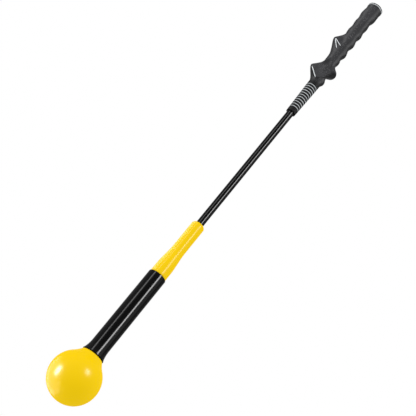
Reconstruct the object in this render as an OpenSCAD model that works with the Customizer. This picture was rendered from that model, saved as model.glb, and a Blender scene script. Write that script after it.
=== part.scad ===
// Golf swing trainer: a weighted ball head on a flexible rod with a moulded training grip.
// The stick stands on the ball's lowest point, with its axis along +Z and the grip on top.
// -X is the side of the two thumb wings and -Y is the side that the thumb pad faces.

/* [Ball] */
// Diameter of the ball
ball_d = 74; // [72:1:78]
// Distance from the ball's centre to the end of its neck
neck_reach = 37.8; // [37.6:0.2:39]
// Diameter of the neck at its end
neck_d = 33.2; // [32.6:0.2:33.6]
// Angle off the axis at which the neck leaves the sphere
neck_angle = 43; // [41:1:45]
// Thickness of the ball's skin
ball_wall = 2.6; // [2:0.1:3.2]

/* [Weight sleeve] */
// Length of the black sleeve over the weight
sleeve_len = 146.2; // [140:0.2:160]
// Outer diameter of the sleeve
sleeve_d = 28; // [27.6:0.2:29]
// Diameter of the flared rim that sits on the ball's neck
flare_d = 34; // [33.8:0.1:34.4]
// Length over which the flare runs out into the tube
flare_len = 19; // [16:1:22]
// Wall of the sleeve where it is a plain tube
sleeve_wall = 1.4; // [1.2:0.1:1.6]
// Length of the steel weight inside
weight_len = 96; // [90:1:100]

/* [Taper sleeve] */
// Visible length of the yellow taper sleeve
taper_len = 101.6; // [96:0.4:110]
// Diameter at its lower end, above the black sleeve
taper_low_d = 25.5; // [25.1:0.1:26]
// Diameter of its slim upper part
taper_top_d = 20.6; // [20:0.2:22]
// Height at which the diameter starts to fall
taper_start = 14; // [10:1:18]
// Height at which the slim part is reached
taper_end = 52; // [48:1:60]
// Radius of its rounded upper end
taper_round = 4.5; // [3:0.5:4.5]

/* [Rod] */
// Diameter of the flexible rod
rod_d = 12; // [11.8:0.1:12]
// Length of rod that shows between the taper sleeve and the grip
rod_len = 248.4; // [240:0.4:300]
// Gap between two rod sections at a bending point
bend_gap = 0.1; // [0.08:0.01:0.15]

/* [Grip] */
// Length of the grip from its mouth to the butt
grip_len = 271; // [271:1:275]
// Diameter of the grip's mouth, where the rod enters
mouth_d = 15.8; // [15.6:0.1:16.4]
// Diameter of the plain neck above the rings
grip_neck_d = 19.3; // [19:0.1:19.8]
// Number of white rings
ring_count = 11; // [9:1:11]
// Distance from ring to ring
ring_pitch = 5.19; // [5:0.01:5.3]
// Height of one white ring
ring_h = 1.1; // [0.9:0.1:1.4]
// Depth of the grooves that the white fill sits in
fill_depth = 0.6; // [0.4:0.1:0.8]
// Reach of the upper thumb wing beyond the grip's body
wing_1_reach = 10.6; // [8:0.2:11]
// Reach of the lower thumb wing
wing_2_reach = 13; // [10:0.2:13]
// Reach of the trigger wing on the other side
trigger_reach = 10.2; // [8:0.2:10.4]

/* [Hidden] */
$fn = 96;
eps = 0.05;                             // clearance between glued or pressed pieces

ball_r = ball_d / 2;
rod_r = rod_d / 2;
sleeve_z = ball_r + neck_reach;         // the sleeve stands on the end of the ball's neck
taper_z = sleeve_z + sleeve_len;
rod_z = taper_z + taper_len;
grip_z = rod_z + rod_len;
butt_z = grip_z + grip_len;

sleeve_bore_r = sleeve_d / 2 - sleeve_wall;
spigot_r = sleeve_bore_r - eps;         // pieces that fit inside the black sleeve
rod_bore_r = rod_r + eps;
weight_gap = 0.3;                       // the weight slides into the sleeve with this much room
washer_h = 4;
plug_depth = 20;                        // plug and taper spigot inside the black sleeve
weight_z = sleeve_z + plug_depth + washer_h;
spigot_z = weight_z + weight_len + washer_h;

rod_tip_z = 14;                         // the rod's lowest end, inside the ball
anchor_r = 13;                          // washer that carries the ball's core
anchor_h = 2;
anchor_gap = 0.2;                       // the washer sits this much below the rod's end
head_r = 4.5;
head_h = 3.4;
hex_r = 1.5;
screw_r = 2.5;
screw_len = 16;
pin_r = 1.5;
pin_wall = 0.5;
pin_slot = 0.6;
pin_inset = 12;                         // cross pins from each end of the weight

bend_step = rod_len / 4;
bend_z = [for (i = [0 : 3]) rod_z + bend_step * (i + 0.5)];
dome_r = rod_r + 2;                     // radius of the domes that the sections meet on

tape_h = 0.35;
grip_bore_r = rod_r + tape_h + eps;
cap_h = 5.6;                            // the butt cap, from its seat to the top of its crown
crown_h = 3.4;
cap_spigot = 8;
vent_r = 1.5;
butt_line_h = 1;
butt_r = 13.5;
first_ring = grip_len - 10 - (ring_count - 1) * ring_pitch;
cone_t = first_ring - 5;                // the plain lower end begins to narrow at this depth
tape_ends = [9, 18];                    // the tape stops short of the grip's mouth and of the butt
round_from = 199;                       // the grip is plain and round below this depth

// Radius of the grip's body at depths below the butt, on the trigger side (+X)
trigger_side = [[cap_h, butt_r], [6.8, butt_r], [10, 12.9], [26, 13.1], [39.5, 10.5], [50, 11.5],
    [60, 10.4], [71.5, 12.1], [82, 10], [95, 12.1], [107.5, 9.4], [121, 12.1], [132, 9.4],
    [141, 11], [150, 9.8], [179, 9.4], [190, 12.4], [round_from, grip_neck_d / 2]];
// ... on the side of the thumb wings (-X)
wing_side = [[cap_h, butt_r], [6.8, butt_r], [10, 12.9], [26, 14.2], [39.5, 12.8], [48, 13.4],
    [61, 12.4], [71, 13.4], [84, 12.4], [130, 11.9], [146, 11.5], [180, 10.6],
    [round_from, grip_neck_d / 2]];
// ... and on the front and back
front_side = [[cap_h, butt_r], [6.8, butt_r], [10, 12.9], [40, 12.4], [80, 12], [110, 11.6],
    [150, 11], [180, 10.4], [round_from, grip_neck_d / 2]];

wing_1 = [83, 103, 135];                // depths of the wing's start, tip and end
wing_2 = [153, 174, 199];
trigger = [150, 165.5, 179];
wing_width = 27;                        // degrees around the axis
wing_1_drop = 13;                       // how much deeper a wing's crest lies on the front than at its tip
wing_2_drop = 18.6;
wing_1_rate = 1.3;                      // how fast the crest drops with the angle off the tip
wing_2_rate = 1.2;
wing_2_back = 0.5;                      // share of the lower wing's drop on its back
wing_blunt = 0.22;                      // rounding of the tips
tip_blend = 0.06;                       // softness of that rounding
wing_curve = 1.3;                       // hollowness of the slopes, 1 is straight
trigger_curve = 1.6;
trigger_fade = 60;                      // degrees over which the trigger dies away at the back
// A crease runs on from the upper wing's crest, with a scoop above it
crease_h = 1.1;
crease_width = 62;                      // degrees
crease_start = 25;                      // degrees off the tip over which it rises
crease_above = 5.5;                     // how far its slopes reach along the grip
crease_below = 2.2;
scoop_depth = 1.5;
scoop_angle = 40;                       // degrees off the tip
scoop_width = 22;
scoop_up = 11;                          // distance above the crest
scoop_len = 6.5;
// The thumb pad is a leaf on the front: its middle, half length and half width in millimetres
leaf_t = 171;
leaf_x = -5;
leaf_len = 22.5;
leaf_w = 12.6;
leaf_r = 12;                            // radius on which its width is measured
leaf_point = 0.55;                      // width of its upper end as a share of the full width
leaf_full = [148, 166];                 // depths between which it grows to the full width
pad_edge = 62;                          // degrees off the trigger at which the pad's rim begins
pad_blend = 30;                         // degrees over which the trigger comes up behind that rim
pad_fade = 35;                          // degrees over which the pad fades out at the wings
pad_rim_h = 1.9;
pad_rim_in = 0.28;                      // the rim's slopes, as shares of the leaf
pad_rim_out = 0.1;
pad_dish = 2.1;
pad_floor = 0.6;                        // share of the leaf that the dish takes to reach its depth
// White lines: each runs between two points [x, depth] on the front of the grip
lines = [[[-20.2, 107], [-5.9, 116.6]], [[-20, 107.8], [-8.6, 123.4]],
    [[-20.8, 179.6], [-5.6, 195.2]]];
line_w = 1;
line_proud = 0.15;
line_steps = 10;
grip_sides = 40;
grip_rows = [cap_h, 6.8, 8.4, for (i = [0 : 59]) 10.4 + (round_from - 10.4) * i / 59];
core_rows = [round_from + 2, round_from + 5]; // the skin ends in a core inside the plain round part
core_in = 0.5;

yellow = "gold";
black = "#1b1b1d";

// Smooth steps between [depth, value] keys, level at each key
function ease(s) = (1 - cos(180 * s)) / 2;
function along(keys, t, i = 0) =
    t <= keys[i][0] ? keys[i][1] :
    i == len(keys) - 1 ? keys[i][1] :
    t < keys[i + 1][0] ?
        keys[i][1] + (keys[i + 1][1] - keys[i][1]) * ease((t - keys[i][0]) / (keys[i + 1][0] - keys[i][0])) :
    along(keys, t, i + 1);
function soft_max(a, b, k) = (a + b + sqrt((a - b) * (a - b) + k * k)) / 2;
function soft_min(a, b, k) = (a + b - sqrt((a - b) * (a - b) + k * k)) / 2;
function bell(s) = exp(-s * s);

function clamped(s) = max(0, min(1, s));

// A hollow ramp up to a blunt tip and down again along the grip, 1 at the tip
function ramp(t, start, tip, end, curve) =
    pow(soft_max(0, soft_min((t - start) / (tip - start), (end - t) / (end - tip), wing_blunt), tip_blend)
        / (1 - wing_blunt / 2), curve);
// How far a wing's crest has dropped at an angle off its tip
function drop(off, far, rate) = far * sin(min(90, rate * off));
// 1 on the rim of the thumb pad, 0 at its middle
function leaf(a, t) =
    let (across = (a + 90) * PI / 180 * leaf_r - leaf_x,
        grown = ease(clamped((t - leaf_full[0]) / (leaf_full[1] - leaf_full[0]))),
        width = leaf_w * (leaf_point + (1 - leaf_point) * grown))
    norm([across / width, (t - leaf_t) / leaf_len]);

// Radius of the grip at angle a (0 = +X, -90 = -Y) and depth t below the butt
function body_r(a, t) =
    let (side = cos(a), front = along(front_side, t))
    front + side * side * ((side > 0 ? along(trigger_side, t) : along(wing_side, t)) - front);
function wing_1_r(off, t) =
    let (crest = wing_1[1] + drop(off, wing_1_drop, wing_1_rate))
    wing_1_reach * bell(off / wing_width) * ramp(t, wing_1[0], crest, wing_1[2], wing_curve)
    + crease_h * bell(off / crease_width) * ease(clamped(off / crease_start))
        * bell((t - crest) / (t > crest ? crease_below : crease_above))
    - scoop_depth * bell((off - scoop_angle) / scoop_width) * bell((t - crest + scoop_up) / scoop_len);
function wing_2_r(off, t, share) =
    wing_2_reach * bell(off / wing_width)
    * ramp(t, wing_2[0], wing_2[1] + share * drop(off, wing_2_drop, wing_2_rate), wing_2[2], wing_curve);
function trigger_r(a, t) =
    trigger_reach * ease(clamped(a < 0 ? (a + pad_edge) / pad_blend : (90 - a) / trigger_fade))
    * ramp(t, trigger[0], trigger[1], trigger[2], trigger_curve);
function pad_r(a, t) =
    let (f = leaf(a, t), kept = ease(clamped((180 + a) / pad_fade)))
    a >= 0 ? 0 : kept * (pad_rim_h * bell((1 - f) / (f > 1 ? pad_rim_out : pad_rim_in))
        - pad_dish * ease(clamped((1 - f) / pad_floor)));
function grip_r(a, t) =
    let (off = 180 - abs(a))
    body_r(a, t) + wing_1_r(off, t) + wing_2_r(off, t, a < 0 ? 1 : wing_2_back)
    + trigger_r(a, t) + pad_r(a, t);
// Angle on the front at which the surface lies at a given x
function angle_at(x, t, low = -179, high = -10, n = 18) =
    let (mid = (low + high) / 2)
    n == 0 ? mid :
    grip_r(mid, t) * cos(mid) < x ? angle_at(x, t, mid, high, n - 1) : angle_at(x, t, low, mid, n - 1);
function on_grip(x, t, proud) =
    let (a = angle_at(x, t), r = grip_r(a, t) + proud)
    [r * cos(a), r * sin(a), butt_z - t];
// Radius of the plain lower end of the grip
function cone_r(t) = (grip_neck_d + (mouth_d - grip_neck_d)
    * max(0, (t - cone_t) / (grip_len - cone_t))) / 2;

// A closed skin through rows of points, each row the same length
module skin(rows) {
    n = len(rows[0]);
    m = len(rows);
    sides = [for (i = [0 : m - 2], j = [0 : n - 1]) let (k = (j + 1) % n)
        each [[i * n + j, i * n + k, (i + 1) * n + k], [i * n + j, (i + 1) * n + k, (i + 1) * n + j]]];
    polyhedron([for (row = rows) each row],
        concat(sides, [[for (j = [n - 1 : -1 : 0]) j], [for (j = [0 : n - 1]) (m - 1) * n + j]]));
}

module tube(r, bore, z0, z1) {
    translate([0, 0, z0]) difference() {
        cylinder(r = r, h = z1 - z0);
        translate([0, 0, -1]) cylinder(r = bore, h = z1 - z0 + 2);
    }
}

// Half outline of the ball with its neck, grown inwards by inset
module ball_outline(inset) {
    r = ball_r - inset;
    normal = [sin(neck_angle), cos(neck_angle)];
    leave = r * normal;
    end = [neck_d / 2 - inset, neck_reach];
    gap = end - leave;
    // radius of the hollow arc that is tangent to the sphere and ends at the neck
    hollow_r = (gap * gap) / (2 * (normal * gap));
    centre = leave + hollow_r * normal;
    from = atan2(leave[1] - centre[1], leave[0] - centre[0]);
    to = atan2(end[1] - centre[1], end[0] - centre[0]);
    sphere_arc = [for (i = [0 : 36]) let (a = 180 - (180 - neck_angle) * i / 36) r * [sin(a), cos(a)]];
    neck_arc = [for (i = [1 : 8]) let (a = from + (to - from) * i / 8)
        centre + hollow_r * [cos(a), sin(a)]];
    translate([0, ball_r]) polygon(concat(sphere_arc, neck_arc, [[0, neck_reach]]));
}

module ball_shell() {
    color(yellow) difference() {
        rotate_extrude() ball_outline(0);
        translate([0, 0, ball_r]) sphere(r = ball_r - ball_wall);
        translate([0, 0, ball_r]) cylinder(r = sleeve_bore_r, h = neck_reach + 1);
    }
}

anchor_z = rod_tip_z - anchor_gap - anchor_h; // the screw's head bears on the washer here
core_top = ball_r + sqrt(pow(ball_r - ball_wall, 2) - pow(sleeve_bore_r, 2));
module ball_core() {
    color("khaki") difference() {
        translate([0, 0, ball_r]) sphere(r = ball_r - ball_wall - eps);
        translate([0, 0, core_top]) cylinder(r = ball_r, h = ball_r);
        translate([0, 0, anchor_z]) cylinder(r = rod_bore_r, h = ball_d);
        translate([0, 0, anchor_z - 0.3]) cylinder(r = anchor_r + eps, h = rod_tip_z - anchor_z + 0.3 + eps);
        translate([0, 0, anchor_z - head_h - 0.4]) cylinder(r = head_r + eps, h = head_h + anchor_h);
    }
}

module anchor_washer() color("silver") tube(anchor_r, screw_r + 0.2, anchor_z, anchor_z + anchor_h);

module anchor_screw() {
    color("gray") {
        translate([0, 0, anchor_z - head_h]) difference() {
            cylinder(r = head_r, h = head_h);
            translate([0, 0, -1]) cylinder(r = hex_r, h = head_h - 0.4, $fn = 6);
        }
        translate([0, 0, anchor_z]) cylinder(r = screw_r - eps, h = screw_len);
    }
}

module neck_plug() color("ivory") tube(spigot_r, rod_bore_r, core_top + 0.5, sleeve_z + plug_depth);

// Sleeve: a short rim that leans out, a shallow groove, a hollow flare, a plain tube and a rolled end
rim_h = 1.8;
rim_lean = 0.5;
rim_groove = 0.4;
rim_land = 0.6;                         // height of the step from the rim down to the groove
rim_edge = 0.3;
flare_curve = 2.2;
lip = 1.2;
module weight_sleeve() {
    r = sleeve_d / 2;
    flare_r = flare_d / 2;
    flare_z = rim_h + rim_land;
    flare = [for (i = [0 : 12]) let (s = i / 12)
        [r + (flare_r - rim_groove - r) * pow(1 - s, flare_curve), flare_z + (flare_len - flare_z) * s]];
    rolled = [for (i = [0 : 6]) let (a = 90 * i / 6)
        [r - lip + lip * cos(a), sleeve_len - lip + lip * sin(a)]];
    color(black) difference() {
        translate([0, 0, sleeve_z]) rotate_extrude() polygon(concat(
            [[0, 0], [flare_r - rim_lean, 0], [flare_r, rim_h - rim_edge], [flare_r, rim_h],
             [flare_r - rim_groove, rim_h]],
            flare, rolled, [[0, sleeve_len]]));
        translate([0, 0, sleeve_z - 1]) cylinder(r = sleeve_bore_r, h = sleeve_len + 2);
    }
}

pin_z = [weight_z + pin_inset, weight_z + weight_len - pin_inset];
module pin_holes(r) for (z = pin_z)
    translate([0, 0, z]) rotate([0, 90, 0]) cylinder(r = r, h = ball_d, center = true);

module steel_weight() {
    color("slategray") difference() {
        tube(spigot_r - weight_gap, rod_bore_r, weight_z, weight_z + weight_len);
        pin_holes(pin_r + eps);
    }
}

// Split spring pins that hold the weight on the rod
module roll_pins() {
    color("silver") for (z = pin_z) translate([0, 0, z]) rotate([0, 90, 0]) difference() {
        cylinder(r = pin_r, h = 2 * spigot_r - 2, center = true);
        cylinder(r = pin_r - pin_wall, h = ball_d, center = true);
        translate([0, pin_r, 0]) cube([pin_slot, 2 * pin_r, ball_d], center = true);
    }
}

module damper_washers() {
    color("dimgray") for (z = [weight_z - washer_h, weight_z + weight_len])
        tube(spigot_r - 2 * eps, rod_bore_r, z + eps, z + washer_h - eps);
}

// Taper sleeve: a spigot in the black sleeve, a wide foot, a smooth fall to a slim part, a round end
taper_bore_r = taper_top_d / 2 - 2;
taper_step = rod_z - 24;                // above this height the sleeve fits the rod
bush_h = 16;
module taper_sleeve() {
    fall = [for (i = [0 : 16]) let (s = i / 16)
        [taper_low_d / 2 + (taper_top_d - taper_low_d) / 2 * ease(s),
         taper_start + (taper_end - taper_start) * s]];
    round_end = [for (i = [0 : 8]) let (a = 90 * i / 8)
        [taper_top_d / 2 - taper_round * (1 - cos(a)), taper_len - taper_round * (1 - sin(a))]];
    color(yellow) difference() {
        translate([0, 0, taper_z]) rotate_extrude() polygon(concat(
            [[0, spigot_z - taper_z], [spigot_r, spigot_z - taper_z], [spigot_r, 0], [taper_low_d / 2, 0]],
            fall, round_end, [[0, taper_len]]));
        translate([0, 0, spigot_z - 1]) cylinder(r = taper_bore_r, h = taper_step - spigot_z + 1);
        translate([0, 0, spigot_z - 1]) cylinder(r = rod_bore_r, h = rod_z);
    }
}

module taper_bush() color("ivory")
    tube(taper_bore_r - eps, rod_bore_r, spigot_z + 0.5, spigot_z + 0.5 + bush_h);

// A length of the rod, with a hollow end above bend `low` and a domed end at bend `high`
module rod_section(z0, z1, low = -1, high = -1) {
    color(black) difference() {
        intersection() {
            translate([0, 0, z0]) cylinder(r = rod_r, h = z1 - z0);
            if (high >= 0) union() {
                translate([0, 0, z0 - 1]) cylinder(r = rod_r + 1, h = bend_z[high] - z0 + 1);
                translate([0, 0, bend_z[high]]) sphere(r = dome_r - bend_gap / 2);
            }
        }
        if (low >= 0) translate([0, 0, bend_z[low]]) sphere(r = dome_r + bend_gap / 2);
    }
}

module rod_tip() {
    difference() {
        rod_section(rod_tip_z, bend_z[0] + dome_r, high = 0);
        pin_holes(pin_r + eps);
        translate([0, 0, rod_tip_z - 1]) cylinder(r = screw_r, h = screw_len + 1);
    }
}
module rod_lower() rod_section(bend_z[0], bend_z[1] + dome_r, low = 0, high = 1);
module rod_middle() rod_section(bend_z[1], bend_z[2] + dome_r, low = 1, high = 2);
module rod_upper() rod_section(bend_z[2], bend_z[3] + dome_r, low = 2, high = 3);
module rod_butt() rod_section(bend_z[3], butt_z - cap_h - cap_spigot - 1, low = 3);

module grip_tape() color("tan")
    tube(grip_bore_r - eps, rod_r + eps, grip_z + tape_ends[0], butt_z - tape_ends[1]);

// Grooves and the white fill in them, from depth t
module ring_band(t, h, proud) {
    translate([0, 0, butt_z - t - h]) difference() {
        cylinder(r1 = cone_r(t + h) + proud, r2 = cone_r(t) + proud, h = h);
        translate([0, 0, -1]) cylinder(r = cone_r(t + h / 2) - fill_depth, h = h + 2);
    }
}

// A line between two ends on the grip; clear widens, deepens and lengthens it for the groove
module white_line(ends, proud, clear = 0) {
    along_line = (ends[1] - ends[0]) / norm(ends[1] - ends[0]);
    across = (line_w / 2 + clear) * [-along_line[1], along_line[0]];
    start = ends[0] - clear * along_line;
    run = ends[1] + clear * along_line - start;
    low = -fill_depth - clear;
    skin([for (i = [0 : line_steps])
        let (p = start + run * i / line_steps, left = p + across, right = p - across)
        [on_grip(left[0], left[1], proud), on_grip(right[0], right[1], proud),
         on_grip(right[0], right[1], low), on_grip(left[0], left[1], low)]]);
}

module butt_line(proud)
    tube(butt_r + proud, butt_r - fill_depth, butt_z - cap_h - butt_line_h, butt_z - cap_h);

module grip_sleeve() {
    color(black) difference() {
        union() {
            skin([for (t = concat(grip_rows, core_rows)) [for (j = [0 : grip_sides - 1])
                let (a = -180 + 360 * j / grip_sides, r = grip_r(a, t) - (t > round_from ? core_in : 0))
                [r * cos(a), r * sin(a), butt_z - t]]]);
            translate([0, 0, butt_z - cone_t]) cylinder(r = grip_neck_d / 2, h = cone_t - round_from - 1);
            translate([0, 0, grip_z]) cylinder(r1 = mouth_d / 2, r2 = grip_neck_d / 2, h = grip_len - cone_t);
        }
        translate([0, 0, grip_z - 1]) cylinder(r = grip_bore_r, h = grip_len + 2);
        butt_line(2);
        for (i = [0 : ring_count - 1]) ring_band(first_ring + i * ring_pitch, ring_h, 1);
        for (ends = lines) white_line(ends, 1.5, eps);
    }
}

module grip_rings() color("white") for (i = [0 : ring_count - 1])
    ring_band(first_ring + i * ring_pitch, ring_h, 0.05);
module wing_lines() color("white") for (ends = lines) white_line(ends, line_proud);
module butt_ring() color("white") butt_line(0.1);

// Cap: a crowned flange, a spigot in the grip's bore and a vent hole right through
module butt_cap() {
    crown = [for (i = [0 : 8]) let (s = i / 8) [butt_r * (1 - s), cap_h - crown_h * pow(1 - s, 3)]];
    color(black) translate([0, 0, butt_z - cap_h]) difference() {
        rotate_extrude() polygon(concat([[0, -cap_spigot], [grip_bore_r - eps, -cap_spigot],
            [grip_bore_r - eps, 0], [butt_r, 0]], crown));
        translate([0, 0, -cap_spigot - 1]) cylinder(r = vent_r, h = cap_spigot + cap_h + 2);
    }
}

ball_shell();
ball_core();
anchor_washer();
anchor_screw();
neck_plug();
weight_sleeve();
steel_weight();
roll_pins();
damper_washers();
taper_sleeve();
taper_bush();
rod_tip();
rod_lower();
rod_middle();
rod_upper();
rod_butt();
grip_tape();
grip_sleeve();
grip_rings();
wing_lines();
butt_ring();
butt_cap();
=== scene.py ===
"""The looks of the swing trainer stick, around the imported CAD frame. Metres, +Z along the stick."""
import math

import bmesh
import bpy
import numpy as np
from mathutils import Matrix, Vector


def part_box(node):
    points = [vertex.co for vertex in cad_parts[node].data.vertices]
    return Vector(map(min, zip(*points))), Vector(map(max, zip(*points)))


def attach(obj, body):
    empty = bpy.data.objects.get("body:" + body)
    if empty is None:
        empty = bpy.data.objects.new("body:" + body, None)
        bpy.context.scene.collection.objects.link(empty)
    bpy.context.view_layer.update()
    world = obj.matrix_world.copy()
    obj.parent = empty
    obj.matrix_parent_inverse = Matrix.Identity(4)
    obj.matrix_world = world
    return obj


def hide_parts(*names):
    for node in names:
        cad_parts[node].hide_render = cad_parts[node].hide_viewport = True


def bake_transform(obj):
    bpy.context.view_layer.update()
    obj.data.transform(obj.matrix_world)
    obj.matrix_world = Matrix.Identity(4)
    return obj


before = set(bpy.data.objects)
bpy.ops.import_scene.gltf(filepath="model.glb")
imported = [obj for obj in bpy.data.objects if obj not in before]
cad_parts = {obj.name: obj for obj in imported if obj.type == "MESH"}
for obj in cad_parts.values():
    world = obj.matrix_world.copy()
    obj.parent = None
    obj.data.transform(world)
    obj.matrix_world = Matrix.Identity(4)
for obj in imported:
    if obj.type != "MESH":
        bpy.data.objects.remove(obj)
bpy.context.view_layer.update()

MM = 0.001
BLACK = (0.001, 0.001, 0.0011, 1)
YELLOW = (0.93, 0.615, 0.001, 1)

# ---------------------------------------------------------------- places, all from the frame
ball_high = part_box("ball_shell")[1]
sleeve_low, sleeve_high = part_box("weight_sleeve")
taper_low, taper_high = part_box("taper_sleeve")
grip_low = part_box("grip_sleeve")[0]
cap_low, cap_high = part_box("butt_cap")
tip_low, tip_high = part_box("rod_tip")
rod_butt_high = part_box("rod_butt")[1]
plug_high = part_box("neck_plug")[1]

BALL_R = ball_high.x
NECK_Z = ball_high.z
SLEEVE_Z0, SLEEVE_Z1 = sleeve_low.z, sleeve_high.z
TAPER_Z0, TAPER_Z1 = taper_low.z, taper_high.z
GRIP_Z0, BUTT_Z = grip_low.z, cap_high.z
ROD_R, PLUG_R = tip_high.x, plug_high.x
BORE_GAP = 0.05 * MM                # between a bore and the piece in it
WELD = 1e-7                         # points closer than this are one
AXIS_R = 1e-9                       # a radius that stands for the axis itself


# ---------------------------------------------------------------- mesh helpers
def finish_mesh(name, mesh, smooth_angle=40):
    """An object of a finished mesh: outward normals, smooth faces and sharp edges."""
    work = bmesh.new()
    work.from_mesh(mesh)
    bmesh.ops.remove_doubles(work, verts=work.verts, dist=WELD)
    bmesh.ops.recalc_face_normals(work, faces=work.faces)
    work.to_mesh(mesh)
    work.free()
    mesh.polygons.foreach_set("use_smooth", [True] * len(mesh.polygons))
    mesh.set_sharp_from_angle(angle=math.radians(smooth_angle))
    obj = bpy.data.objects.new(name, mesh)
    bpy.context.collection.objects.link(obj)
    return obj


def loft(verts, faces, rows, closed_rows=False):
    """Adds a skin through rows of points to verts and faces. closed_rows joins the last row to the first."""
    first, count = len(verts), len(rows[0])
    for row in rows:
        verts.extend(row)
    for i in range(len(rows) - (0 if closed_rows else 1)):
        here, there = first + i * count, first + (i + 1) % len(rows) * count
        for j in range(count):
            k = (j + 1) % count
            faces.append((here + j, here + k, there + k, there + j))


def revolve(name, outlines, segments=160, smooth_angle=40):
    """Solids of revolution about Z. Each outline is a list of (radius, z): closed, or from axis to axis."""
    verts, faces = [], []
    turns = [2 * math.pi * j / segments for j in range(segments)]
    for outline in outlines:
        on_axis = outline[0][0] < AXIS_R
        rows = [[(max(r, AXIS_R) * math.cos(a), max(r, AXIS_R) * math.sin(a), z) for a in turns]
                for r, z in outline]
        if on_axis:
            rows = rows[1:-1]
        first = len(verts)
        loft(verts, faces, rows, closed_rows=not on_axis)
        if on_axis:
            for end, row in ((outline[0], first), (outline[-1], first + (len(rows) - 1) * segments)):
                pole = len(verts)
                verts.append((0, 0, end[1]))
                faces.extend((row + j, row + (j + 1) % segments, pole) for j in range(segments))
    mesh = bpy.data.meshes.new(name)
    mesh.from_pydata(verts, [], faces)
    return finish_mesh(name, mesh, smooth_angle)


def arc(centre_r, centre_z, radius, from_deg, to_deg, steps):
    """Points of an arc in the (radius, z) half plane; 0 degrees points away from the axis, 90 up."""
    angles = np.radians(np.linspace(from_deg, to_deg, steps + 1))
    return [(centre_r + radius * math.cos(a), centre_z + radius * math.sin(a)) for a in angles]


def line(start, end, steps):
    """Points from start to end, without the end itself."""
    return [tuple(np.array(start) + (np.array(end) - np.array(start)) * i / steps) for i in range(steps)]


def ease(s):
    return (1 - np.cos(np.pi * np.clip(s, 0, 1))) / 2


# ---------------------------------------------------------------- materials
def new_material(name, colour, roughness, **sockets):
    """A Principled material; sockets sets further inputs by name with _ for spaces."""
    material = bpy.data.materials.new(name)
    material.use_nodes = True
    shader = material.node_tree.nodes["Principled BSDF"]
    shader.inputs["Base Color"].default_value = colour
    shader.inputs["Roughness"].default_value = roughness
    for key, value in sockets.items():
        shader.inputs[key.replace("_", " ")].default_value = value
    return material, material.node_tree, shader


def noise(tree, scale, detail=4, stretch=(1, 1, 1), distortion=0):
    """Noise in object coordinates; stretch below 1 on an axis draws it out along that axis."""
    where = tree.nodes.new("ShaderNodeTexCoord")
    mapping = tree.nodes.new("ShaderNodeMapping")
    mapping.inputs["Scale"].default_value = stretch
    texture = tree.nodes.new("ShaderNodeTexNoise")
    texture.inputs["Scale"].default_value = scale
    texture.inputs["Detail"].default_value = detail
    texture.inputs["Distortion"].default_value = distortion
    tree.links.new(where.outputs["Object"], mapping.inputs["Vector"])
    tree.links.new(mapping.outputs["Vector"], texture.inputs["Vector"])
    return texture.outputs["Fac"]


def ramp(tree, value, stops):
    """A colour ramp of (position, colour) stops over a value."""
    node = tree.nodes.new("ShaderNodeValToRGB")
    elements = node.color_ramp.elements
    while len(elements) < len(stops):
        elements.new(0.5)
    for element, (position, colour) in zip(elements, stops):
        element.position = position
        element.color = colour
    tree.links.new(value, node.inputs["Fac"])
    return node.outputs["Color"]


def map_range(tree, value, low, high, to_low, to_high):
    node = tree.nodes.new("ShaderNodeMapRange")
    for key, number in (("From Min", low), ("From Max", high), ("To Min", to_low), ("To Max", to_high)):
        node.inputs[key].default_value = number
    tree.links.new(value, node.inputs["Value"])
    return node.outputs["Result"]


def bump(tree, shader, height, distance, strength=1.0, under=None):
    node = tree.nodes.new("ShaderNodeBump")
    node.inputs["Distance"].default_value = distance
    node.inputs["Strength"].default_value = strength
    tree.links.new(height, node.inputs["Height"])
    if under is not None:
        tree.links.new(under, node.inputs["Normal"])
    tree.links.new(node.outputs["Normal"], shader.inputs["Normal"])
    return node.outputs["Normal"]


def tint(colour, factor):
    return (*[min(1, c * factor) for c in colour[:3]], 1)


def varied(name, colour, roughness, spread=0.05, blotch=30, rough_spread=0.04, grain=900, grain_h=0.00001,
           stretch=(1, 1, 1), **sockets):
    """A finish with mottled colour, uneven gloss and a fine grain in its surface."""
    material, tree, shader = new_material(name, colour, roughness, **sockets)
    mottle = noise(tree, blotch, 5, stretch)
    shades = ramp(tree, mottle, [(0.3, tint(colour, 1 - spread)), (0.7, tint(colour, 1 + spread))])
    tree.links.new(shades, shader.inputs["Base Color"])
    smears = noise(tree, blotch * 2.7, 6, stretch, 0.6)
    tree.links.new(map_range(tree, smears, 0.3, 0.7, roughness - rough_spread, roughness + rough_spread),
                   shader.inputs["Roughness"])
    bump(tree, shader, noise(tree, grain, 3, stretch), grain_h)
    return material


def yellow_finish(name, coat_roughness, peel_h):
    """Glossy dyed vinyl: slightly cloudy colour and a soft orange peel under the gloss."""
    material, tree, shader = new_material(
        name, YELLOW, 0.5, Specular_IOR_Level=0.0, Coat_Weight=0.2, Coat_Roughness=coat_roughness)
    cloud = noise(tree, 14, 4)
    shades = ramp(tree, cloud, [(0.3, tint(YELLOW, 0.965)), (0.7, tint(YELLOW, 1.02))])
    tree.links.new(shades, shader.inputs["Base Color"])
    smears = noise(tree, 60, 6, (1, 1, 1), 0.8)
    tree.links.new(map_range(tree, smears, 0.3, 0.75, 0.44, 0.58), shader.inputs["Roughness"])
    peel = bump(tree, shader, noise(tree, 160, 2), peel_h, 0.6)
    bump(tree, shader, noise(tree, 1600, 3), 0.000008, 0.5, peel)
    tree.links.new(peel, shader.inputs["Coat Normal"])
    return material


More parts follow.
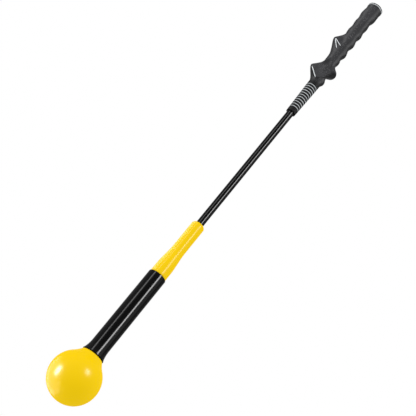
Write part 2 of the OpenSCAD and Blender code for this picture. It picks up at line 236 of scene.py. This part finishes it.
def lacquer(name, roughness, stretch, scratch):
    """Black gloss with faint hairlines drawn along the piece and a little dust dulling."""
    material, tree, shader = new_material(name, BLACK, roughness, Coat_Weight=0.5, Coat_Roughness=0.05)
    cloud = noise(tree, 18, 4, (1, 1, 0.4))
    shades = ramp(tree, cloud, [(0.3, tint(BLACK, 0.8)), (0.75, tint(BLACK, 1.5))])
    tree.links.new(shades, shader.inputs["Base Color"])
    hairs = noise(tree, 500, 4, (1, 1, stretch))
    dulled = map_range(tree, hairs, 0.35, 0.75, roughness - 0.03, roughness + 0.09)
    tree.links.new(dulled, shader.inputs["Roughness"])
    bump(tree, shader, hairs, scratch, 0.5)
    return material


def rubber_finish(name):
    """Satin moulded rubber: fine stipple and slight bloom; the plain lower end has one darker colour and a
    duller surface.
    """
    colour = (0.02, 0.02, 0.0216, 1)
    material, tree, shader = new_material(name, colour, 0.38)
    where = tree.nodes.new("ShaderNodeTexCoord")
    height = tree.nodes.new("ShaderNodeSeparateXYZ")
    tree.links.new(where.outputs["Object"], height.inputs["Vector"])
    plain_z, plain_blend = BUTT_Z - 0.2, 0.004      # where the sculpted part ends, and half the change
    # 0 on the plain lower end and 1 above it: below, the colour is a quarter of the rubber's, without bloom,
    #                                          and rougher
    above_plain_end = map_range(tree, height.outputs["Z"], plain_z - plain_blend, plain_z + plain_blend, 0, 1)
    bloom = noise(tree, 45, 6, (1, 1, 0.6), 0.4)
    shades = ramp(tree, bloom, [(0.3, tint(colour, 0.75)), (0.6, colour), (0.8, tint(colour, 1.6))])
    mix = tree.nodes.new("ShaderNodeMix")
    mix.data_type = "RGBA"
    tree.links.new(above_plain_end, mix.inputs["Factor"])
    mix.inputs["A"].default_value = tint(colour, 0.25)
    tree.links.new(shades, mix.inputs["B"])
    tree.links.new(mix.outputs["Result"], shader.inputs["Base Color"])
    smears = map_range(tree, noise(tree, 110, 5), 0.3, 0.7, 0.34, 0.44)
    dull = tree.nodes.new("ShaderNodeMix")
    tree.links.new(above_plain_end, dull.inputs["Factor"])
    dull.inputs["A"].default_value = 0.62
    tree.links.new(smears, dull.inputs["B"])
    tree.links.new(dull.outputs["Result"], shader.inputs["Roughness"])
    cell = tree.nodes.new("ShaderNodeTexVoronoi")
    cell.inputs["Scale"].default_value = 1400
    tree.links.new(where.outputs["Object"], cell.inputs["Vector"])
    stipple = bump(tree, shader, cell.outputs["Distance"], 0.00006, 0.5)
    bump(tree, shader, noise(tree, 220, 4), 0.00008, 0.4, stipple)
    return material


def paint_finish(name, white):
    """White paint fill, a little worn through in specks."""
    material, tree, shader = new_material(name, white, 0.45)
    specks = noise(tree, 700, 5)
    shades = ramp(tree, specks, [(0.27, tint(white, 0.55)), (0.36, tint(white, 0.93)), (0.7, white)])
    tree.links.new(shades, shader.inputs["Base Color"])
    tree.links.new(map_range(tree, specks, 0.3, 0.7, 0.55, 0.4), shader.inputs["Roughness"])
    bump(tree, shader, specks, 0.00004, 0.6)
    return material


yellow_ball = yellow_finish("yellow_vinyl", 0.25, 0.00002)
yellow_shell = yellow_finish("yellow_plastic", 0.22, 0.000004)
sleeve_black = lacquer("sleeve_black", 0.17, 0.02, 0.000006)
rod_black = lacquer("rod_black", 0.12, 0.008, 0.000008)
rubber = rubber_finish("grip_rubber")
ring_paint = paint_finish("ring_paint", (0.64, 0.68, 0.70, 1))
line_paint = paint_finish("line_paint", (0.88, 0.92, 0.94, 1))


def give(obj, material):
    obj.data.materials.clear()
    obj.data.materials.append(material)


def place(obj, material, body, node):
    """Finish a piece that stands for one CAD node and rides on its body."""
    give(obj, material)
    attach(obj, body)
    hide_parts(node)
    return obj


# ---------------------------------------------------------------- ball
def make_ball():
    wall = 2.6 * MM
    bore_r = PLUG_R + BORE_GAP
    neck_r, round_r = 16.6 * MM, 0.4 * MM
    leave_deg = 43                      # off the axis, where the neck leaves the sphere
    turn = math.radians(leave_deg)
    normal = np.array([math.sin(turn), math.cos(turn)])
    leave, end = BALL_R * normal, np.array([neck_r, NECK_Z - BALL_R])
    gap = end - leave
    hollow_r = gap @ gap / (2 * normal @ gap)
    centre = leave + hollow_r * normal
    start_deg, end_deg = (math.degrees(math.atan2(*(p - centre)[::-1])) for p in (leave, end))
    outline = arc(0, BALL_R, BALL_R, -90, 90 - leave_deg, 120)
    outline += arc(centre[0], BALL_R + centre[1], hollow_r, start_deg, end_deg, 24)[1:-1]
    outline += arc(neck_r - round_r, NECK_Z - round_r, round_r, 30, 90, 4)      # the neck's rounded lip
    inner_r = BALL_R - wall
    meet = math.degrees(math.acos(bore_r / inner_r))
    outline += [(bore_r, NECK_Z)] + arc(0, BALL_R, inner_r, meet, -90, 48)
    outline[0] = (0, outline[0][1])
    outline[-1] = (0, outline[-1][1])
    return revolve("ball_skin", [outline], 192)


ball = place(make_ball(), yellow_ball, "head", "ball_shell")


# ---------------------------------------------------------------- black sleeve over the weight
def make_sleeve():
    tube_r, flare_r = 14 * MM, sleeve_high.x
    bore_r = PLUG_R + BORE_GAP
    rim_h, lean, edge = 1.8 * MM, 0.5 * MM, 0.25 * MM       # rim: height, slant and rounded edges
    groove, land = 0.4 * MM, 0.6 * MM                       # step between rim and flare
    flare_len, flare_curve, lip = 19 * MM, 2.2, 1.2 * MM
    z0, z1 = SLEEVE_Z0, SLEEVE_Z1
    outline = [(bore_r, z0)] + line((bore_r + edge, z0), (flare_r - lean - edge, z0), 4)
    outline += arc(flare_r - lean - edge, z0 + edge, edge, -90, -20, 4)
    outline += arc(flare_r - edge, z0 + rim_h - edge, edge, -15, 85, 6)
    flare_z = z0 + rim_h + land
    for s in np.linspace(0, 1, 49):
        r = tube_r + (flare_r - groove - tube_r) * (1 - s) ** flare_curve
        outline.append((r, flare_z + (z0 + flare_len - flare_z) * s))
    outline += line((tube_r, z0 + flare_len + MM), (tube_r, z1 - lip), 40)
    outline += arc(tube_r - lip, z1 - lip, lip, 0, 90, 10)
    outline += [(bore_r, z1)]
    outline += line((bore_r, z1 - MM), (bore_r, z0), 20)
    return revolve("weight_sleeve_skin", [outline], 160, 50)


place(make_sleeve(), sleeve_black, "head", "weight_sleeve")


# ---------------------------------------------------------------- yellow taper sleeve
def make_taper():
    foot_r, slim_r = 12.75 * MM, 10.3 * MM
    bore_r, bush_h = ROD_R + BORE_GAP, 24 * MM              # round the rod at the upper end
    inner_r = slim_r - 2 * MM
    fall_z0, fall_z1 = 14 * MM, 52 * MM                     # above the foot, from wide to slim
    end_round, chamfer, edge, mouth = 4.5 * MM, 0.5 * MM, 0.2 * MM, 0.15 * MM
    z0, foot_z, z1 = TAPER_Z0, SLEEVE_Z1, TAPER_Z1
    outline = [(inner_r, z0)] + line((inner_r + chamfer, z0), (PLUG_R - chamfer, z0), 3)
    outline += line((PLUG_R, z0 + chamfer), (PLUG_R, foot_z), 8)
    outline += [(PLUG_R, foot_z), (foot_r - edge / 2, foot_z + edge / 10)]
    outline += line((foot_r, foot_z + edge), (foot_r, foot_z + fall_z0), 6)
    for s in np.linspace(0, 1, 61):
        r = foot_r + (slim_r - foot_r) * float(ease(s))
        outline.append((r, foot_z + fall_z0 + (fall_z1 - fall_z0) * s))
    outline += line((slim_r, foot_z + fall_z1 + MM), (slim_r, z1 - end_round), 24)
    outline += [(slim_r - end_round * (1 - math.cos(a)), z1 - end_round * (1 - math.sin(a)))
                for a in np.linspace(0, math.pi / 2, 15)]
    outline += [(bore_r + mouth, z1), (bore_r, z1 - edge)]
    outline += line((bore_r, z1 - MM), (bore_r, z1 - bush_h), 8) + [(bore_r, z1 - bush_h)]
    outline += line((inner_r, z1 - bush_h), (inner_r, z0), 20)
    return revolve("taper_sleeve_skin", [outline], 160, 50)


taper = place(make_taper(), yellow_shell, "head", "taper_sleeve")


# ---------------------------------------------------------------- flexible rod
SECTIONS = ["rod_tip", "rod_lower", "rod_middle", "rod_upper", "rod_butt"]


def make_rod():
    """Four straight lengths that meet between the bends; each stands for one section of the CAD rod, the
    last for two.
    """
    count, row_h = 4, 2.5 * MM
    step = (GRIP_Z0 - TAPER_Z1) / count
    ends = [TAPER_Z1 + i * step for i in range(count + 1)]
    for i in range(count):
        low = tip_low.z if i == 0 else ends[i]
        high = rod_butt_high.z if i == count - 1 else ends[i + 1]
        rows = max(24, int((high - low) / row_h))
        outline = [(0, low)] + line((ROD_R, low), (ROD_R, high), rows) + [(ROD_R, high), (0, high)]
        piece = revolve(f"rod_length_{i + 1}", [outline], 64, 60)
        give(piece, rod_black)
        nodes = SECTIONS[i:i + 1] if i < count - 1 else SECTIONS[i:]
        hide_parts(*nodes)
        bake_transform(piece)


make_rod()

# ---------------------------------------------------------------- grip
# Keys of the grip's body: depth below the butt and radius, in millimetres, as in the CAD model
CAP_H, CROWN_H, BUTT_R = 5.6, 3.4, 13.5
GRIP_LEN = (BUTT_Z - GRIP_Z0) / MM
ROUND_FROM, ROUND_BLEND, GRIP_NECK_R, MOUTH_R = 199, 2, 9.65, 7.9
RING_COUNT, RING_PITCH, RING_H, LAST_RING_UP, CONE_UP = 11, 5.19, 1.1, 10, 5
FIRST_RING = GRIP_LEN - LAST_RING_UP - (RING_COUNT - 1) * RING_PITCH
CONE_FROM = FIRST_RING - CONE_UP
TRIGGER_SIDE = [(CAP_H, BUTT_R), (6.8, BUTT_R), (10, 12.9), (26, 13.1), (39.5, 10.5), (50, 11.5),
                (60, 10.4), (71.5, 12.1), (82, 10), (95, 12.1), (107.5, 9.4), (121, 12.1), (132, 9.4),
                (141, 11), (150, 9.8), (179, 9.4), (190, 12.4), (ROUND_FROM, GRIP_NECK_R)]
WING_SIDE = [(CAP_H, BUTT_R), (6.8, BUTT_R), (10, 12.9), (26, 14.2), (39.5, 12.8), (48, 13.4), (61, 12.4),
             (71, 13.4), (84, 12.4), (130, 11.9), (146, 11.5), (180, 10.6), (ROUND_FROM, GRIP_NECK_R)]
FRONT_SIDE = [(CAP_H, BUTT_R), (6.8, BUTT_R), (10, 12.9), (40, 12.4), (80, 12), (110, 11.6), (150, 11),
              (180, 10.4), (ROUND_FROM, GRIP_NECK_R)]
# Wings and trigger: depths of start, tip and end, how far they reach, and how they drop off the tip
WING_1, WING_2, TRIGGER = (83, 103, 135), (153, 174, 199), (150, 165.5, 179)
WING_1_REACH, WING_2_REACH, TRIGGER_REACH = 10.6, 13, 10.2
WING_1_DROP, WING_2_DROP, WING_1_RATE, WING_2_RATE, WING_2_BACK = 13, 18.6, 1.3, 1.2, 0.5
WING_WIDTH, WING_BLUNT, TIP_BLEND, WING_CURVE, TRIGGER_CURVE = 27, 0.22, 0.06, 1.3, 1.6
TRIGGER_FADE = 60                                           # degrees over which it dies away at the back
# Crease along the upper wing's crest, and the scoop above it, in degrees off the tip and in depth
CREASE_H, CREASE_WIDTH, CREASE_START, CREASE_BELOW, CREASE_ABOVE = 1.1, 62, 25, 2.2, 5.5
SCOOP_DEPTH, SCOOP_ANGLE, SCOOP_WIDTH, SCOOP_UP, SCOOP_LEN = 1.5, 40, 22, 11, 6.5
# Thumb pad: a leaf across the front, with a rim and a dished floor
LEAF_T, LEAF_X, LEAF_LEN, LEAF_W, LEAF_R, LEAF_POINT, LEAF_FULL = 171, -5, 22.5, 12.6, 12, 0.55, (148, 166)
PAD_EDGE, PAD_BLEND, PAD_FADE = 62, 30, 35                  # degrees
PAD_RIM_H, PAD_RIM_IN, PAD_RIM_OUT, PAD_DISH, PAD_FLOOR = 1.9, 0.28, 0.1, 2.1, 0.6
# Ends (x, depth) of the white lines
LINES = [((-20.2, 107), (-5.9, 116.6)), ((-20, 107.8), (-8.6, 123.4)), ((-20.8, 179.6), (-5.6, 195.2))]


def along(keys, t):
    """Smooth steps between (depth, value) keys, level at each key."""
    depths, values = (np.array(column, float) for column in zip(*keys))
    i = np.clip(np.searchsorted(depths, t) - 1, 0, len(depths) - 2)
    s = (t - depths[i]) / (depths[i + 1] - depths[i])
    return values[i] + (values[i + 1] - values[i]) * ease(s)


def soft_max(a, b, k):
    return (a + b + np.sqrt((a - b) ** 2 + k * k)) / 2


def soft_min(a, b, k):
    return (a + b - np.sqrt((a - b) ** 2 + k * k)) / 2


def bell(s):
    return np.exp(-s * s)


def tent(t, start, tip, end, curve=WING_CURVE):
    """A hollow ramp up to a blunt tip and down again along the grip, 1 at the tip."""
    up, down = (t - start) / (tip - start), (end - t) / (end - tip)
    return (soft_max(0, soft_min(up, down, WING_BLUNT), TIP_BLEND) / (1 - WING_BLUNT / 2)) ** curve


def drop(off, far, rate):
    """How far a wing's crest has dropped at an angle off its tip."""
    return far * np.sin(np.radians(np.minimum(90, rate * off)))


def leaf(a, t):
    """1 on the rim of the thumb pad, 0 at its middle."""
    across = np.radians(a + 90) * LEAF_R - LEAF_X
    grown = ease((t - LEAF_FULL[0]) / (LEAF_FULL[1] - LEAF_FULL[0]))
    width = LEAF_W * (LEAF_POINT + (1 - LEAF_POINT) * grown)
    return np.hypot(across / width, (t - LEAF_T) / LEAF_LEN)


def upper_wing(off, t):
    crest = WING_1[1] + drop(off, WING_1_DROP, WING_1_RATE)
    fin = WING_1_REACH * bell(off / WING_WIDTH) * tent(t, WING_1[0], crest, WING_1[2])
    slope = np.where(t > crest, CREASE_BELOW, CREASE_ABOVE)
    crease = CREASE_H * bell(off / CREASE_WIDTH) * ease(off / CREASE_START) * bell((t - crest) / slope)
    scoop = bell((off - SCOOP_ANGLE) / SCOOP_WIDTH) * bell((t - crest + SCOOP_UP) / SCOOP_LEN)
    return fin + crease - SCOOP_DEPTH * scoop


def lower_wing(off, t, share):
    crest = WING_2[1] + share * drop(off, WING_2_DROP, WING_2_RATE)
    return WING_2_REACH * bell(off / WING_WIDTH) * tent(t, WING_2[0], crest, WING_2[2])


def trigger(a, t):
    spread = ease(np.where(a < 0, (a + PAD_EDGE) / PAD_BLEND, (90 - a) / TRIGGER_FADE))
    return TRIGGER_REACH * spread * tent(t, *TRIGGER, TRIGGER_CURVE)


def thumb_pad(a, t):
    f = leaf(a, t)
    rim = PAD_RIM_H * bell((1 - f) / np.where(f > 1, PAD_RIM_OUT, PAD_RIM_IN))
    dish = PAD_DISH * ease((1 - f) / PAD_FLOOR)
    return np.where(a < 0, ease((180 + a) / PAD_FADE) * (rim - dish), 0)


def grip_r(a, t):
    """Radius of the grip in millimetres at angle a in degrees (0 = +X, -90 = -Y) and depth t."""
    side = np.cos(np.radians(a))
    front = along(FRONT_SIDE, t)
    flank = np.where(side > 0, along(TRIGGER_SIDE, t), along(WING_SIDE, t))
    off = 180 - np.abs(a)
    shape = (front + side * side * (flank - front) + trigger(a, t) + upper_wing(off, t)
             + lower_wing(off, t, np.where(a < 0, 1, WING_2_BACK)) + thumb_pad(a, t))
    fall = np.maximum(0, (t - CONE_FROM) / (GRIP_LEN - CONE_FROM))
    cone = GRIP_NECK_R + (MOUTH_R - GRIP_NECK_R) * fall
    plain = ease((t - ROUND_FROM) / ROUND_BLEND + 0.5)
    return shape * (1 - plain) + cone * plain


def cone_r(t):
    """Radius at a depth where the grip is round."""
    return float(grip_r(0.0, t))


def on_grip(a, t, proud):
    """A point proud of the grip's surface, in metres."""
    r = (float(grip_r(a, t)) + proud) * MM
    return (r * math.cos(math.radians(a)), r * math.sin(math.radians(a)), BUTT_Z - t * MM)


def angle_at(x, t, halvings=30):
    """The angle on the front at which the grip's surface has this x."""
    low, high = -179.0, -10.0
    for _ in range(halvings):
        middle = (low + high) / 2
        if float(grip_r(middle, t)) * math.cos(math.radians(middle)) < x:
            low = middle
        else:
            high = middle
    return (low + high) / 2


def make_grip():
    """The sculpted sleeve: outer skin from butt to mouth, then the bore back up."""
    sides, bore_r, groove, edge = 144, 6.4, 0.25, 0.12
    # Depths past a ring's upper edge, and how far the skin stands out there
    ring_rows = [(-2, 0), (-0.3, 0), (0, -0.02), (0.04, -groove), (RING_H - 0.04, -groove), (RING_H, -0.02),
                 (RING_H + 0.3, 0)]
    # The same above the mouth, whose edge is rounded
    mouth_rows = [(0.3, -0.08), (0.08, -0.3), (0, -0.6)]
    rows = [(CAP_H, -edge), (CAP_H + edge, 0)]
    rows += [(t, 0) for t in np.linspace(CAP_H + RING_H, CONE_FROM, 420)]
    for i in range(RING_COUNT):
        rows += [(FIRST_RING + i * RING_PITCH + past, offset) for past, offset in ring_rows]
    rows += [(t, 0) for t in np.linspace(rows[-1][0] + 1, GRIP_LEN - 0.6, 8)]
    rows += [(GRIP_LEN - above, offset) for above, offset in mouth_rows]
    turns = np.linspace(-180, 180, sides, endpoint=False)

    def round_row(radii, t):
        return [(r * MM * math.cos(math.radians(a)), r * MM * math.sin(math.radians(a)), BUTT_Z - t * MM)
                for r, a in zip(radii, turns)]

    points = [round_row(grip_r(turns, np.full(sides, t)) + offset, t) for t, offset in rows]
    points += [round_row(np.full(sides, bore_r), t) for t in np.linspace(GRIP_LEN, CAP_H, 30)]
    verts, faces = [], []
    loft(verts, faces, points, closed_rows=True)
    mesh = bpy.data.meshes.new("grip_skin")
    mesh.from_pydata(verts, [], faces)
    return finish_mesh("grip_skin", mesh, 50)


def band(t, height, proud, depth, radius):
    """Outline of a ring of paint in its groove, with a slightly rounded face."""
    top, low = BUTT_Z - t * MM, BUTT_Z - (t + height) * MM
    edge, bulge = 0.12 * MM, 0.02 * MM
    upper, middle, lower = ((radius(t + d) + proud) * MM for d in (0, height / 2, height))
    face = [(lower - edge, low), (lower - bulge, low + edge), (middle, (top + low) / 2),
            (upper - bulge, top - edge), (upper - edge, top)]
    inner = (radius(t + height / 2) - depth) * MM
    return [(inner, low)] + face + [(inner, top)]


def make_line(ends, width=1, proud=0.14, depth=0.5, steps=28):
    """Rows across a painted line that follows the grip's surface between two points (x, depth)."""
    start, end = (np.array(p, float) for p in ends)
    run = end - start
    across = np.array([-run[1], run[0]]) / np.linalg.norm(run)
    # Places across the line, in shares of its width, and their heights over the surface
    section = [(-0.5, -depth), (-0.5, proud * 0.4), (-0.35, proud), (0, proud), (0.35, proud),
               (0.5, proud * 0.4), (0.5, -depth)]
    rows = []
    for s in np.linspace(0, 1, steps + 1):
        narrowed = width * min(1.0, 4 * s + 0.35, 4 * (1 - s) + 0.35)       # towards both ends
        row = []
        for share, height in section:
            x, t = start + run * s + across * narrowed * share
            row.append(on_grip(angle_at(x, t), t, height))
        rows.append(row)
    return rows


def make_lines():
    verts, faces = [], []
    for ends in LINES:
        first = len(verts)
        rows = make_line(ends)
        loft(verts, faces, rows)
        count = len(rows[0])
        faces.append(tuple(first + j for j in range(count)))
        faces.append(tuple(first + (len(rows) - 1) * count + j for j in range(count)))
    mesh = bpy.data.meshes.new("wing_lines_paint")
    mesh.from_pydata(verts, [], faces)
    return finish_mesh("wing_lines_paint", mesh, 60)


def make_cap():
    """Crowned cap with a soft edge, a shallow ring and the vent hole."""
    bore, spigot, chamfer, edge = 1.5 * MM, 6.35 * MM, 0.3 * MM, 0.1 * MM
    ring_at, ring_depth, ring_width = 0.62, 0.25 * MM, 0.6 * MM        # the first is a share of the radius
    vent_rim, vent_round, vent_dip = 0.5 * MM, 0.4 * MM, 0.02 * MM
    z0, z1 = cap_low.z, cap_high.z
    seat = BUTT_Z - CAP_H * MM
    r = BUTT_R * MM
    outline = [(bore, z0), (spigot - chamfer, z0), (spigot, z0 + chamfer), (spigot, seat),
               (r - edge, seat), (r, seat + edge)]
    for s in np.linspace(0, 1, 33)[:-1]:
        here = r * (1 - s)
        if here > bore + vent_rim:
            crown = (CAP_H - CROWN_H * (1 - s) ** 3) * MM
            dip = ring_depth * float(bell((here - ring_at * r) / ring_width))
            outline.append((here, seat + crown - dip))
    outline += [(bore + vent_round, z1 - vent_dip), (bore, z1 - vent_round)]
    return revolve("butt_cap_skin", [outline], 128, 50)


grip = place(make_grip(), rubber, "handle", "grip_sleeve")
rings = [band(FIRST_RING + i * RING_PITCH, RING_H, 0.03, 0.5, cone_r) for i in range(RING_COUNT)]
place(revolve("grip_ring_paint", rings, 144, 60), ring_paint, "handle", "grip_rings")
place(make_lines(), line_paint, "handle", "wing_lines")
butt_line = band(CAP_H, 1, 0.12, 0.6, lambda t: BUTT_R)
place(revolve("butt_line_paint", [butt_line], 144, 60), line_paint, "handle", "butt_ring")
grip_cap = place(make_cap(), rubber, "handle", "butt_cap")

# ---------------------------------------------------------------- pieces inside, carried over from the CAD
STEEL = {"spread": 0.08, "Metallic": 1.0}
NYLON = {"colour": (0.78, 0.75, 0.66, 1), "roughness": 0.45, "blotch": 60}
INNER = {
    "ball_core": varied("foam_core", (0.62, 0.52, 0.2, 1), 0.8, spread=0.12, blotch=90, rough_spread=0.06,
                        grain=1500, grain_h=0.0002),
    "anchor_washer": varied("turned_steel_washer", (0.5, 0.5, 0.52, 1), 0.35, blotch=200, **STEEL),
    "anchor_screw": varied("turned_steel_screw", (0.42, 0.42, 0.44, 1), 0.32, blotch=200, **STEEL),
    "neck_plug": varied("nylon_plug", **NYLON),
    "steel_weight": varied("turned_steel_weight", (0.46, 0.47, 0.5, 1), 0.38, spread=0.1, blotch=40,
                           rough_spread=0.06, grain=600, grain_h=0.00002, stretch=(1, 1, 6), Metallic=1.0),
    "roll_pins": varied("spring_steel", (0.36, 0.36, 0.38, 1), 0.3, blotch=300, **STEEL),
    "damper_washers": varied("soft_rubber", (0.05, 0.05, 0.052, 1), 0.7, spread=0.15, blotch=120,
                             rough_spread=0.06, grain=1500, grain_h=0.0001),
    "taper_bush": varied("nylon_bush", **NYLON),
    "grip_tape": varied("grip_tape", (0.6, 0.52, 0.34, 1), 0.75, spread=0.1, blotch=150, rough_spread=0.06,
                        grain=900, grain_h=0.00005, stretch=(1, 1, 0.3)),
}
for node, finish in INNER.items():
    give(bpy.data.objects[node], finish)

# ---------------------------------------------------------------- floor, light and camera
RIGHT = Vector((0.7735, -0.2789, 0.5691)).normalized()      # of the picture, in the frame of the stick
BACKWARD = Vector((0, -0.898, -0.440)).normalized()
BACKWARD = (BACKWARD - RIGHT * BACKWARD.dot(RIGHT)).normalized()
UP = BACKWARD.cross(RIGHT)
DARK_SIDE = (BACKWARD - 0.55 * UP + 0.1 * RIGHT).normalized()

FLOOR_Z, FLOOR_HALF, FADE_FROM, FADE_TO = -1.7, 20, 2, 7


def floor_finish():
    """A plain pale floor that fades into the white room with distance, so that it shows no edge."""
    material = varied("pale_floor", (0.86, 0.86, 0.86, 1), 0.7, spread=0.01, blotch=3, rough_spread=0.03,
                      grain=40, grain_h=0.0001)
    tree = material.node_tree
    where = tree.nodes.new("ShaderNodeTexCoord")
    distance = tree.nodes.new("ShaderNodeVectorMath")
    distance.operation = "LENGTH"
    tree.links.new(where.outputs["Object"], distance.inputs[0])
    white = tree.nodes.new("ShaderNodeEmission")
    fade = tree.nodes.new("ShaderNodeMixShader")
    tree.links.new(map_range(tree, distance.outputs["Value"], FADE_FROM, FADE_TO, 0, 1), fade.inputs["Fac"])
    tree.links.new(tree.nodes["Principled BSDF"].outputs["BSDF"], fade.inputs[1])
    tree.links.new(white.outputs["Emission"], fade.inputs[2])
    tree.links.new(fade.outputs["Shader"], tree.nodes["Material Output"].inputs["Surface"])
    return material


floor_mesh = bpy.data.meshes.new("floor")
corners = ((-1, -1), (1, -1), (1, 1), (-1, 1))
floor_mesh.from_pydata([(x * FLOOR_HALF, y * FLOOR_HALF, FLOOR_Z) for x, y in corners], [], [(0, 1, 2, 3)])
floor = bpy.data.objects.new("floor", floor_mesh)
bpy.context.collection.objects.link(floor)
give(floor, floor_finish())
floor.visible_diffuse = floor.visible_glossy = False    # the pieces see the room below them, not the floor


def area_light(name, place_at, target, size, radiance, receivers, long_way=(0, 0, 1)):
    """A softbox of (width, height) metres that shows in the gloss of its receivers. Radiance 1 is white."""
    data = bpy.data.lights.new(name, "AREA")
    data.shape = "RECTANGLE"
    data.size, data.size_y = size
    data.energy = radiance * math.pi * size[0] * size[1]
    lamp = bpy.data.objects.new(name, data)
    bpy.context.collection.objects.link(lamp)
    back = (Vector(place_at) - Vector(target)).normalized()
    across = Vector(long_way).cross(back).normalized()
    turned = Matrix((across, back.cross(across), back)).transposed().to_4x4()
    lamp.matrix_world = Matrix.Translation(place_at) @ turned
    lamp.visible_camera = lamp.visible_diffuse = False
    lamp.light_linking.receiver_collection = receivers
    return lamp


def around(degrees, distance, z):
    """A place at an angle round the stick, from +X towards +Y."""
    a = math.radians(degrees)
    return (distance * math.cos(a), distance * math.sin(a), z)


def group(name, objects):
    collection = bpy.data.collections.new(name)
    for obj in objects:
        collection.objects.link(obj)
    return collection


rubber_pieces, yellow_pieces = [grip, grip_cap], [ball, taper]
ball_only = group("light_on_ball", [ball])
taper_only = group("light_on_taper", [taper])
rubber_only = group("light_on_rubber", rubber_pieces)
black_only = group("light_on_the_rest", [obj for obj in bpy.context.scene.objects if obj.type == "MESH"
                                         and obj not in (floor, *yellow_pieces, *rubber_pieces)])
NEAR, FAR = 1.2, 1.3                # distances of the lamps from the stick
BALL_MID = Vector((0, 0, BALL_R))
KEY_WAY, SPOT_WAY = Vector((-0.951, -0.143, -0.274)), Vector((0.406, -0.673, 0.617))
area_light("ball_key", BALL_MID + 1.15 * KEY_WAY, BALL_MID, (0.34, 0.62), 120, ball_only, RIGHT + UP)
area_light("ball_spot", BALL_MID + NEAR * SPOT_WAY, BALL_MID, (0.36, 0.38), 46, ball_only)

# Long lamps beside the stick, for the streaks along it: target, height, and the radiance of each. The
# yellow's gloss is thin, so its lamps are brighter, and only as long as the taper mirrors.
BESIDE, BESIDE_TAPER = (0, 0, 1.2), (0, 0, 0.87)
STREAKS = [("black", black_only, BESIDE, 1.8, 7.5, 2.0, 0.2),
           ("taper", taper_only, BESIDE_TAPER, 0.7, 28, 8.5, 0.7)]
for name, receivers, target, height, right, left, fill in STREAKS:
    z = target[2]
    area_light(f"{name}_right", around(-60, NEAR, z), target, (0.3, height), right, receivers)
    area_light(f"{name}_left", around(-140, NEAR, z), target, (0.25, height), left, receivers)
    area_light(f"{name}_fill", around(-30, FAR, z), target, (0.9, height), fill, receivers)

area_light("rubber_left", around(-164, NEAR, BESIDE[2]), BESIDE, (0.7, 1.8), 1.3, rubber_only)
area_light("rubber_right", around(-32, NEAR, BESIDE[2]), BESIDE, (0.9, 1.8), 1.5, rubber_only)
GRIP_MID = Vector((0, 0, (GRIP_Z0 + BUTT_Z) / 2))
GRIP_WAY = Vector((-0.3, -0.75, 0.59))
grip_key = area_light("rubber_key", GRIP_MID + NEAR * GRIP_WAY, GRIP_MID, (0.5, 0.5), 34, rubber_only)
grip_key.visible_diffuse = True                 # this one is plain light, without gloss
grip_key.visible_glossy = False

LOW_THIRD = Vector((0, 0, 0.2)) - 0.2 * BACKWARD
area_light("ball_wall", LOW_THIRD - NEAR * RIGHT, LOW_THIRD, (2.2, 2.2), 7, ball_only, UP)
area_light("taper_wall", around(-199, NEAR, BESIDE_TAPER[2]), BESIDE_TAPER, (1.5, 0.8), 7, taper_only)

world = bpy.data.worlds.new("studio")
bpy.context.scene.world = world
world.use_nodes = True
world.cycles.sampling_method = "NONE"   # so that every ray that meets the sky knows what sent it
tree = world.node_tree
sky = tree.nodes["Background"]
path = tree.nodes.new("ShaderNodeLightPath")


def blend_value(factor, low, high):
    node = tree.nodes.new("ShaderNodeMix")
    node.data_type = "FLOAT"
    for socket, value in (("A", low), ("B", high)):
        if isinstance(value, float):
            node.inputs[socket].default_value = value
        else:
            tree.links.new(value, node.inputs[socket])
    tree.links.new(factor, node.inputs["Factor"])
    return node.outputs["Result"]


# The camera sees plain white. As a light, the room is dimmest low in front of the stick. In the gloss it is
# darker than it is as a light, apart from a white backdrop.
direction = tree.nodes.new("ShaderNodeTexCoord")


def dot(axis):
    node = tree.nodes.new("ShaderNodeVectorMath")
    node.operation = "DOT_PRODUCT"
    node.inputs[1].default_value = axis
    tree.links.new(direction.outputs["Generated"], node.inputs[0])
    return node


facing = dot(DARK_SIDE)
lit = tree.nodes.new("ShaderNodeMath")   # brightest beside the stick, and dimmer again behind it
lit.operation = "MINIMUM"
tree.links.new(map_range(tree, facing.outputs["Value"], -1, 1, 1.86, 0.67), lit.inputs[0])
tree.links.new(map_range(tree, facing.outputs["Value"], -1, -0.25, 0.7, 1.5), lit.inputs[1])
gloss = map_range(tree, facing.outputs["Value"], -0.8, 0.9, 0.16, 0.015)
away = dot(BACKWARD)
backdrop = map_range(tree, away.outputs["Value"], -0.85, -0.97, 0, 1)
mirrored = blend_value(backdrop, gloss, 1.0)
unseen = blend_value(path.outputs["Is Glossy Ray"], lit.outputs["Value"], mirrored)
tree.links.new(blend_value(path.outputs["Is Camera Ray"], unseen, 1.0), sky.inputs["Strength"])
sky.inputs["Color"].default_value = (1, 1, 1, 1)

# A long lens, from in front of the ball and below it
camera = bpy.data.objects.new("camera", bpy.data.cameras.new("camera"))
bpy.context.collection.objects.link(camera)
camera.data.lens = 82.6
camera.data.sensor_width = 36
camera.data.clip_start, camera.data.clip_end = 0.05, 50
camera.matrix_world = (Matrix.Translation((-0.0056, -1.2493, -0.2596))
                       @ Matrix((RIGHT, UP, BACKWARD)).transposed().to_4x4())
bpy.context.scene.camera = camera
bpy.context.scene.view_settings.view_transform = "Standard"
